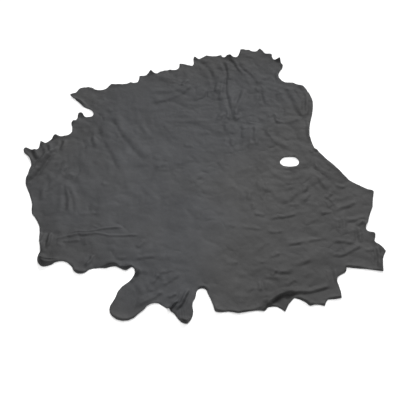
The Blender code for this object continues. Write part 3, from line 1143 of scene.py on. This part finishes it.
class Socket:
    """A value in a shader, which adds, subtracts and multiplies like a number."""

    def __init__(self, build: "Nodes", output: Any) -> None:
        """Wrap an output socket of a node tree."""
        self.build = build
        self.output = output

    def _maths(self, operation: str, *values: Any) -> "Socket":
        """Add a Math node on this socket and the other values."""
        inputs = dict(enumerate(values))
        return self.build.node("ShaderNodeMath", {"operation": operation}, inputs)

    def __add__(self, other: Any) -> "Socket":
        """Sum."""
        return self._maths("ADD", self, other)

    def __radd__(self, other: Any) -> "Socket":
        """Sum with a number before it."""
        return self._maths("ADD", other, self)

    def __sub__(self, other: Any) -> "Socket":
        """Difference."""
        return self._maths("SUBTRACT", self, other)

    def __rsub__(self, other: Any) -> "Socket":
        """Difference from a number before it."""
        return self._maths("SUBTRACT", other, self)

    def __rmul__(self, other: Any) -> "Socket":
        """Product with a number before it."""
        return self._maths("MULTIPLY", other, self)

    def ramp(self, low: float, high: float) -> "Socket":
        """A smooth step.

        Args:
            low: Where it starts; the value is 0 below it.
            high: Where it ends; the value is 1 above it.

        Returns:
            The step of this value.
        """
        settings = {"interpolation_type": "SMOOTHSTEP"}
        inputs = {"Value": self, "From Min": low, "From Max": high}
        return self.build.node("ShaderNodeMapRange", settings, inputs)


class Nodes:
    """Adds nodes to one material."""

    def __init__(self, name: str) -> None:
        """Make an empty material.

        Args:
            name: Name of the material.
        """
        self.material = bpy.data.materials.new(name)
        self.material.use_nodes = True
        self.tree = self.material.node_tree
        self.tree.nodes.clear()

    def node(self, kind: str, settings: dict, inputs: dict, output: Any = 0) -> Socket:
        """Add one node.

        Args:
            kind: Blender's type of the node.
            settings: Properties, set before the sockets.
            inputs: Socket name or number to a value or another socket.
            output: Which output to return.

        Returns:
            The output, wrapped.
        """
        made = self.tree.nodes.new(kind)
        for name, value in settings.items():
            setattr(made, name, value)
        for name, value in inputs.items():
            if isinstance(value, Socket):
                self.tree.links.new(value.output, made.inputs[name])
            else:
                made.inputs[name].default_value = value
        return Socket(self, made.outputs[output] if len(made.outputs) else None)

    def place(self) -> Socket:
        """Object coordinates."""
        return self.node("ShaderNodeTexCoord", {}, {}, "Object")

    def noise(self, place: Socket, scale: float, detail: float, rough: float = 0.5) -> Socket:
        """Noise between 0 and 1; scale is in cells a metre."""
        inputs = {"Vector": place, "Scale": scale, "Detail": detail, "Roughness": rough}
        return self.node("ShaderNodeTexNoise", {}, inputs)

    def cells(self, place: Socket, size: float) -> Socket:
        """Distance from the middle of a cell, in a scatter of cells of that size."""
        inputs = {"Vector": place, "Scale": 1.0 / size, "Randomness": 0.9}
        return self.node("ShaderNodeTexVoronoi", {"feature": "F1"}, inputs, "Distance")

    def blend(self, share: Any, low: tuple, high: tuple) -> Socket:
        """Mix two colours.

        Args:
            share: How much of the second, from 0 to 1.
            low: The first colour.
            high: The second colour.

        Returns:
            The mixture.
        """
        settings = {"data_type": "RGBA"}
        inputs = {0: share, 6: low, 7: high}
        return self.node("ShaderNodeMix", settings, inputs, 2)

    def painted(self, name: str) -> Socket:
        """A value painted on the points of the mesh."""
        return self.node("ShaderNodeAttribute", {"attribute_name": name}, {}, "Fac")

    def times(self, colour: Socket, other: Socket) -> Socket:
        """Product of two colours."""
        settings = {"operation": "MULTIPLY"}
        return self.node("ShaderNodeVectorMath", settings, {0: colour, 1: other}, "Vector")

    def scaled(self, colour: Socket, share: Any) -> Socket:
        """A colour times a number."""
        settings = {"operation": "SCALE"}
        return self.node("ShaderNodeVectorMath", settings, {0: colour, "Scale": share}, "Vector")

    def bump(self, height: Socket, depth: float, under: Socket | None = None) -> Socket:
        """Bump the surface.

        Args:
            height: Height as a share of the depth.
            depth: Depth of the bump, in metres.
            under: Another bump that this one lies on.

        Returns:
            The bumped normal.
        """
        inputs = {"Height": height, "Strength": 1.0, "Distance": depth}
        if under is not None:
            inputs["Normal"] = under
        return self.node("ShaderNodeBump", {}, inputs)

    def surface(self, inputs: dict) -> bpy.types.Material:
        """Finish with a Principled surface.

        Args:
            inputs: Socket name to a value or another socket.

        Returns:
            The material.
        """
        shader = self.node("ShaderNodeBsdfPrincipled", {}, inputs)
        self.node("ShaderNodeOutputMaterial", {}, {"Surface": shader})
        return self.material


@dataclass(frozen=True)
class GrainFinish:
    """Dyed and milled grain side.

    Attributes:
        dark: Colour in the deepest of its clouds.
        light: Colour in the lightest.
        plain: Tint where the dye isn't blue.
        bluish: Tint where it is bluest.
        roughness: Mean roughness.
        pebble: Size of a pebble of the grain, in metres.
        pore_depth: Depth of the grain, in metres.
        wrinkle_depth: Depth of the fine drawn wrinkles, in metres.
        rub_depth: Depth of the soft rubbed unevenness, in metres.
        rub_roughness: How much roughness strays with the rubbing.
    """

    dark: tuple = (0.048, 0.048, 0.048, 1.0)
    light: tuple = (0.062, 0.062, 0.062, 1.0)
    plain: tuple = (1.006, 1.0, 1.003, 1.0)
    bluish: tuple = (0.975, 1.0, 1.065, 1.0)
    roughness: float = 0.68
    pebble: float = 0.0016
    pore_depth: float = 0.00016
    wrinkle_depth: float = 0.0006
    rub_depth: float = 0.0016
    rub_roughness: float = 0.10

    def material(self) -> bpy.types.Material:
        """Clouded charcoal over a pebbled grain with fine drawn wrinkles.

        Returns:
            The material.
        """
        nodes = Nodes("grain leather")
        place = nodes.place()
        clouds = nodes.noise(place, scale=5.0, detail=4.0, rough=0.55)
        specks = nodes.noise(place, scale=160.0, detail=2.0)
        shade = (0.75 * clouds + 0.25 * specks).ramp(low=0.32, high=0.68)
        tint = nodes.blend(nodes.painted("blue"), self.plain, self.bluish)
        dye = nodes.times(nodes.blend(shade, self.dark, self.light), tint)
        pebbles = nodes.cells(place, self.pebble)
        drawn = nodes.noise(place, scale=210.0, detail=3.0, rough=0.6)
        rubbed = nodes.noise(place, scale=38.0, detail=3.0)
        grain = nodes.bump(1.0 - pebbles, self.pore_depth)
        wrinkles = nodes.bump(drawn, self.wrinkle_depth, grain)
        soft = nodes.bump(rubbed, self.rub_depth, wrinkles)
        return nodes.surface(
            {
                # The base colour is scaled by the tone of the dye with painted light and shade, kept on the
                # points.
                "Base Color": nodes.scaled(dye, nodes.painted("shade")),
                "Roughness": self.roughness + self.rub_roughness * (rubbed - 0.5),
                "Specular IOR Level": 0.2,
                "Normal": soft,
            }
        )


@dataclass(frozen=True)
class FleshFinish:
    """Brushed flesh side and cut edge, paler and fibrous.

    Attributes:
        name: Name of the material.
        dark: Colour between the fibres.
        light: Colour of the fibres.
        nap_depth: Depth of the nap, in metres.
    """

    name: str
    dark: tuple
    light: tuple
    nap_depth: float = 0.0004

    def material(self) -> bpy.types.Material:
        """Short nap with a coarse fibre.

        Returns:
            The material.
        """
        nodes = Nodes(self.name)
        place = nodes.place()
        nap = nodes.noise(place, scale=420.0, detail=4.0, rough=0.7)
        clouds = nodes.noise(place, scale=9.0, detail=3.0)
        shade = (0.6 * nap + 0.4 * clouds).ramp(low=0.3, high=0.7)
        return nodes.surface(
            {
                "Base Color": nodes.blend(shade, self.dark, self.light),
                "Roughness": 0.92,
                "Sheen Weight": 0.25,
                "Normal": nodes.bump(nap, self.nap_depth),
            }
        )


@dataclass(frozen=True)
class FloorFinish:
    """Plain pale floor.

    Attributes:
        colour: Colour of the floor.
        glow: How much it is lit from beneath.
    """

    colour: tuple = (0.90, 0.90, 0.90, 1.0)
    glow: float = 0.45

    def material(self) -> bpy.types.Material:
        """Even, matt and pale."""
        nodes = Nodes("pale floor")
        return nodes.surface(
            {
                "Base Color": self.colour,
                "Roughness": 0.9,
                "Emission Color": self.colour,
                "Emission Strength": self.glow,
            }
        )


# ------------------------------------------------------------------------- the sheet


def linked(name: str, data: Any) -> bpy.types.Object:
    """Put a mesh, a light or a camera in the scene.

    Args:
        name: Name of the new object.
        data: What it shows.

    Returns:
        The object.
    """
    made = bpy.data.objects.new(name, data)
    bpy.context.scene.collection.objects.link(made)
    return made


class Side(Enum):
    """Surfaces of the sheet, numbered as the mesh's material slots."""

    GRAIN = 0
    FLESH = 1
    CUT = 2


@dataclass
class HideSheet:
    """The hide as one closed sheet.

    Both sides are triangulated over a lattice of staggered rows.  Where the sheet
    bends most, the grain side takes every place of it.

    Attributes:
        plan: Outline of the sheet.
        relief: How high it lies.
        spacing: Spacing of the lattice.
        grain_step: Steps of the lattice from one point of the grain side to the next.
        flesh_step: The same on the flesh side.
        bent: Share of the lattice that counts as bent.
        margin: Clear strip between the loops and the other points of the grain side.
        sharp: Least angle between faces that is drawn as an edge, in degrees.
    """

    plan: Plan
    relief: Relief
    spacing: float = 5.0
    grain_step: int = 2
    flesh_step: int = 4
    bent: float = 0.22
    margin: float = 4.0
    sharp: float = 50.0

    def lattice(self) -> tuple[np.ndarray, np.ndarray]:
        """Staggered rows that cover the plan: every second row is half a step on.

        Returns:
            Places across and places along.
        """
        beyond = self.flesh_step * self.spacing
        low = self.plan.loops[0].min(axis=0) - beyond
        high = self.plan.loops[0].max(axis=0) + beyond
        across = np.arange(low[0], high[0], self.spacing)
        along = np.arange(low[1], high[1], self.spacing * math.sqrt(0.75))
        x, y = np.meshgrid(across, along)
        x[1::2] += 0.5 * self.spacing
        return x, y

    @staticmethod
    def every(x: np.ndarray, step: int) -> np.ndarray:
        """Places of a lattice that make up the same lattice, step times wider."""
        row, column = np.indices(x.shape)
        return (row % step == 0) & ((column + row // 2) % step == 0)

    def bends(self, height: np.ndarray, within: np.ndarray) -> np.ndarray:
        """Where the sheet bends most.

        The bend is the greatest second difference along a row or over two rows,
        at or within two places.

        Args:
            height: Heights over the lattice.
            within: Places in the sheet.

        Returns:
            True at the most bent share of the places.
        """
        bend = np.zeros(height.shape)
        for step, axis in ((2, 0), (1, 1), (2, 1)):
            ends = np.roll(height, step, axis) + np.roll(height, -step, axis)
            bend = np.maximum(bend, np.abs(ends - 2.0 * height) / step)
        wide = bend.copy()
        for step in (1, 2):
            for axis in (0, 1):
                wide = np.maximum(wide, np.roll(bend, step, axis))
                wide = np.maximum(wide, np.roll(bend, -step, axis))
        return wide > np.quantile(wide[within], 1.0 - self.bent)

    def layer(self, points: np.ndarray) -> tuple[np.ndarray, np.ndarray]:
        """Triangulate the loops and the points inside them, and leave the hole open.

        Args:
            points: Points inside the sheet, in plan.

        Returns:
            All points in plan, loops first, and anticlockwise triangles.
        """
        plan = np.vstack([*self.plan.loops, points])
        edges, first = [], 0
        for loop in self.plan.loops:
            ring = np.arange(len(loop))
            edges.append(first + np.column_stack([ring, np.roll(ring, -1)]))
            first += len(loop)
        corners = [Vector(point) for point in plan.tolist()]
        result = delaunay_2d_cdt(corners, np.vstack(edges).tolist(), [], 1, 1e-5)
        faces = np.array(result[2])
        return plan, faces[self.beyond_hole(plan[faces].mean(axis=1))]

    def beyond_hole(self, points: np.ndarray) -> np.ndarray:
        """Whether some points lie outside the hole.

        The edge of the hole is taken as a distance from its middle, blended over the
        bearings of its points.

        Args:
            points: Points in plan.

        Returns:
            True for each point outside.
        """
        hole = self.plan.loops[1]
        middle = hole.mean(axis=0)
        edge, away = hole - middle, points - middle
        bearing = np.arctan2(edge[:, 1], edge[:, 0])
        turn = np.argsort(bearing)
        wanted = np.arctan2(away[:, 1], away[:, 0])
        reach = np.interp(wanted, bearing[turn], np.hypot(*edge[turn].T), period=2 * math.pi)
        return np.hypot(*away.T) > reach

    @staticmethod
    def lowest_near(height: np.ndarray, steps: int) -> np.ndarray:
        """Least height within some places, so that the flesh side stays under."""
        for _ in range(steps):
            rows = np.minimum(np.roll(height, 1, 0), np.roll(height, -1, 0))
            columns = np.minimum(np.roll(height, 1, 1), np.roll(height, -1, 1))
            height = np.minimum(height, np.minimum(rows, columns))
        return height

    def build(self) -> bpy.types.Object:
        """Make the sheet.

        Returns:
            The finished object.
        """
        x, y = self.lattice()
        rim, hole = self.plan.loops
        inset = loop_distance(x, y, self.plan.loops)
        within = rows_inside(x, y, rim) & ~rows_inside(x, y, hole)
        height = self.relief.height(x, y, inset)
        bent = self.bends(height, within)
        low = self.lowest_near(height, self.flesh_step)
        fine = within & (inset > self.margin) & (bent | self.every(x, self.grain_step))
        wide = within & (inset > 2.0 * self.margin) & self.every(x, self.flesh_step)
        loops = np.vstack(self.plan.loops)
        loop_height = self.relief.height(*loops.T, np.zeros(len(loops)))
        grain_plan, grain_faces = self.layer(np.column_stack([x[fine], y[fine]]))
        flesh_plan, flesh_faces = self.layer(np.column_stack([x[wide], y[wide]]))
        grain_z = np.concatenate([loop_height, height[fine]]) + THICKNESS
        flesh_z = np.concatenate([loop_height, low[wide]])
        grain = np.column_stack([grain_plan - DATUM, grain_z]) * MM
        flesh = np.column_stack([flesh_plan - DATUM, flesh_z]) * MM
        LOG.info("grain side %d faces, flesh side %d", len(grain_faces), len(flesh_faces))
        return self.join(grain, grain_faces, flesh, flesh_faces)

    def join(
        self,
        grain: np.ndarray,
        grain_faces: np.ndarray,
        flesh: np.ndarray,
        flesh_faces: np.ndarray,
    ) -> bpy.types.Object:
        """Close the two sides with the cut edge.

        Args:
            grain: Points of the grain side, loops first.
            grain_faces: Its triangles.
            flesh: Points of the flesh side, loops first.
            flesh_faces: Its triangles, as seen from above.

        Returns:
            The object, dressed.
        """
        count = len(grain)
        walls, first = [], 0
        for loop in self.plan.loops:
            here = first + np.arange(len(loop))
            there = np.roll(here, -1)
            walls.append(np.column_stack([here + count, there + count, there, here]))
            first += len(loop)
        cut = np.vstack(walls)
        faces = grain_faces.tolist() + (flesh_faces[:, ::-1] + count).tolist() + cut.tolist()
        mesh = bpy.data.meshes.new("hide_sheet")
        mesh.from_pydata(np.vstack([grain, flesh]).tolist(), [], faces)
        sides = np.concatenate(
            [
                np.full(len(grain_faces), Side.GRAIN.value),
                np.full(len(flesh_faces), Side.FLESH.value),
                np.full(len(cut), Side.CUT.value),
            ]
        )
        plan = np.vstack([grain, flesh])[:, :2] / MM + DATUM
        # The shade carries the tone of the dye with painted light and shade; the blue is the dye's own tint.
        for name, field_of in (("shade", self.relief.shade), ("blue", self.relief.blue)):
            layer = mesh.attributes.new(name, "FLOAT", "POINT")
            layer.data.foreach_set("value", field_of(*plan.T).astype(np.float32))
        for finish in self.finishes():
            mesh.materials.append(finish.material())
        mesh.polygons.foreach_set("material_index", sides.astype(np.int32))
        mesh.shade_smooth()
        mesh.set_sharp_from_angle(angle=math.radians(self.sharp))
        mesh.update()
        return linked("hide_sheet", mesh)

    @staticmethod
    def finishes() -> tuple:
        """Finishes in the order of the sides."""
        return (
            GrainFinish(),
            FleshFinish("flesh side", (0.040, 0.041, 0.044, 1.0), (0.085, 0.087, 0.092, 1.0)),
            FleshFinish("cut edge", (0.030, 0.030, 0.032, 1.0), (0.055, 0.055, 0.058, 1.0)),
        )


# ------------------------------------------------------------------------ the studio


@dataclass
class Studio:
    """Floor, soft lights and camera.

    Attributes:
        aim: Place on the floor at the middle of the picture, in metres.
        distance: From that place to the camera, in metres.
        elevation: Of the camera above the floor, in degrees.
        picture_angle: Across the picture, in degrees.
        sensor: Width of the camera's sensor, in millimetres.
        floor_half: Half of a side of the floor, in metres.
        floor_drop: How far the floor lies under the hide, in metres.
    """

    aim: tuple = (0.0446, -0.3624, 0.0)
    distance: float = 4.047
    elevation: float = 51.0
    picture_angle: float = 37.0
    sensor: float = 36.0
    floor_half: float = 9.0
    floor_drop: float = 0.0003

    def floor(self) -> bpy.types.Object:
        """A wide pale sheet just under the hide.

        Returns:
            The floor.
        """
        half, low = self.floor_half, -self.floor_drop
        corners = [(-half, -half, low), (half, -half, low), (half, half, low), (-half, half, low)]
        mesh = bpy.data.meshes.new("floor")
        mesh.from_pydata(corners, [], [(0, 1, 2, 3)])
        mesh.materials.append(FloorFinish().material())
        made = linked("floor", mesh)
        return made

    @staticmethod
    def lamp(kind: str, name: str, place: tuple, power: float, **shape: Any) -> bpy.types.Object:
        """A soft light that faces the middle of the hide.

        Args:
            kind: "AREA" for one that stands near the hide, "SUN" for one so far off
                that it lights the whole hide alike.
            name: Name of the light.
            place: Where it stands, in metres; of a far one only the direction counts.
            power: In watts, or for a far one in watts on a square metre that faces it.
            shape: Further settings of the light.

        Returns:
            The light.
        """
        light = bpy.data.lights.new(name, kind)
        light.energy = power
        for setting, value in shape.items():
            setattr(light, setting, value)
        made = linked(name, light)
        made.location = place
        made.rotation_euler = (-Vector(place)).to_track_quat("-Z", "Y").to_euler()
        return made

    def sky(self, strength: float) -> None:
        """Even white light from all round.

        Args:
            strength: Brightness of the background.
        """
        world = bpy.data.worlds.new("studio")
        world.use_nodes = True
        background = world.node_tree.nodes["Background"]
        background.inputs["Color"].default_value = (1.0, 1.0, 1.0, 1.0)
        background.inputs["Strength"].default_value = strength
        bpy.context.scene.world = world

    def camera(self) -> bpy.types.Object:
        """The camera, level, looking down at the aim from the near side.

        Returns:
            The camera.
        """
        lens = bpy.data.cameras.new("camera")
        lens.sensor_width = self.sensor
        lens.lens = self.sensor / 2.0 / math.tan(math.radians(self.picture_angle / 2.0))
        lens.clip_end = 60.0
        made = linked("camera", lens)
        tilt = math.radians(self.elevation)
        back = Vector((0.0, -math.cos(tilt), math.sin(tilt)))
        made.location = Vector(self.aim) + back * self.distance
        made.rotation_euler = (-back).to_track_quat("-Z", "Y").to_euler()
        bpy.context.scene.camera = made
        return made

    def build(self) -> None:
        """Set the stage and the colours of the picture."""
        self.floor()
        self.lamp("SUN", "key", (1.05, 3.9, 2.5), power=2.41, angle=math.radians(22.0))
        self.lamp("AREA", "top", (-0.1, -0.5, 1.9), power=19.0, shape="SQUARE", size=1.3)
        self.sky(strength=0.30)
        self.camera()
        bpy.context.scene.view_settings.view_transform = "Standard"


def write_sizes() -> None:
    """Bring the view layer up to date."""
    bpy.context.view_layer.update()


def main() -> None:
    """Build the hide and its studio."""
    logging.basicConfig(level=logging.INFO, format="%(name)s: %(message)s")
    piece = HideSheet(Plan(), Relief()).build()
    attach(piece, "root")
    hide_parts("hide")
    LOG.info("%s: %d faces", piece.name, len(piece.data.polygons))
    Studio().build()
    write_sizes()


if __name__ == "__main__":
    main()
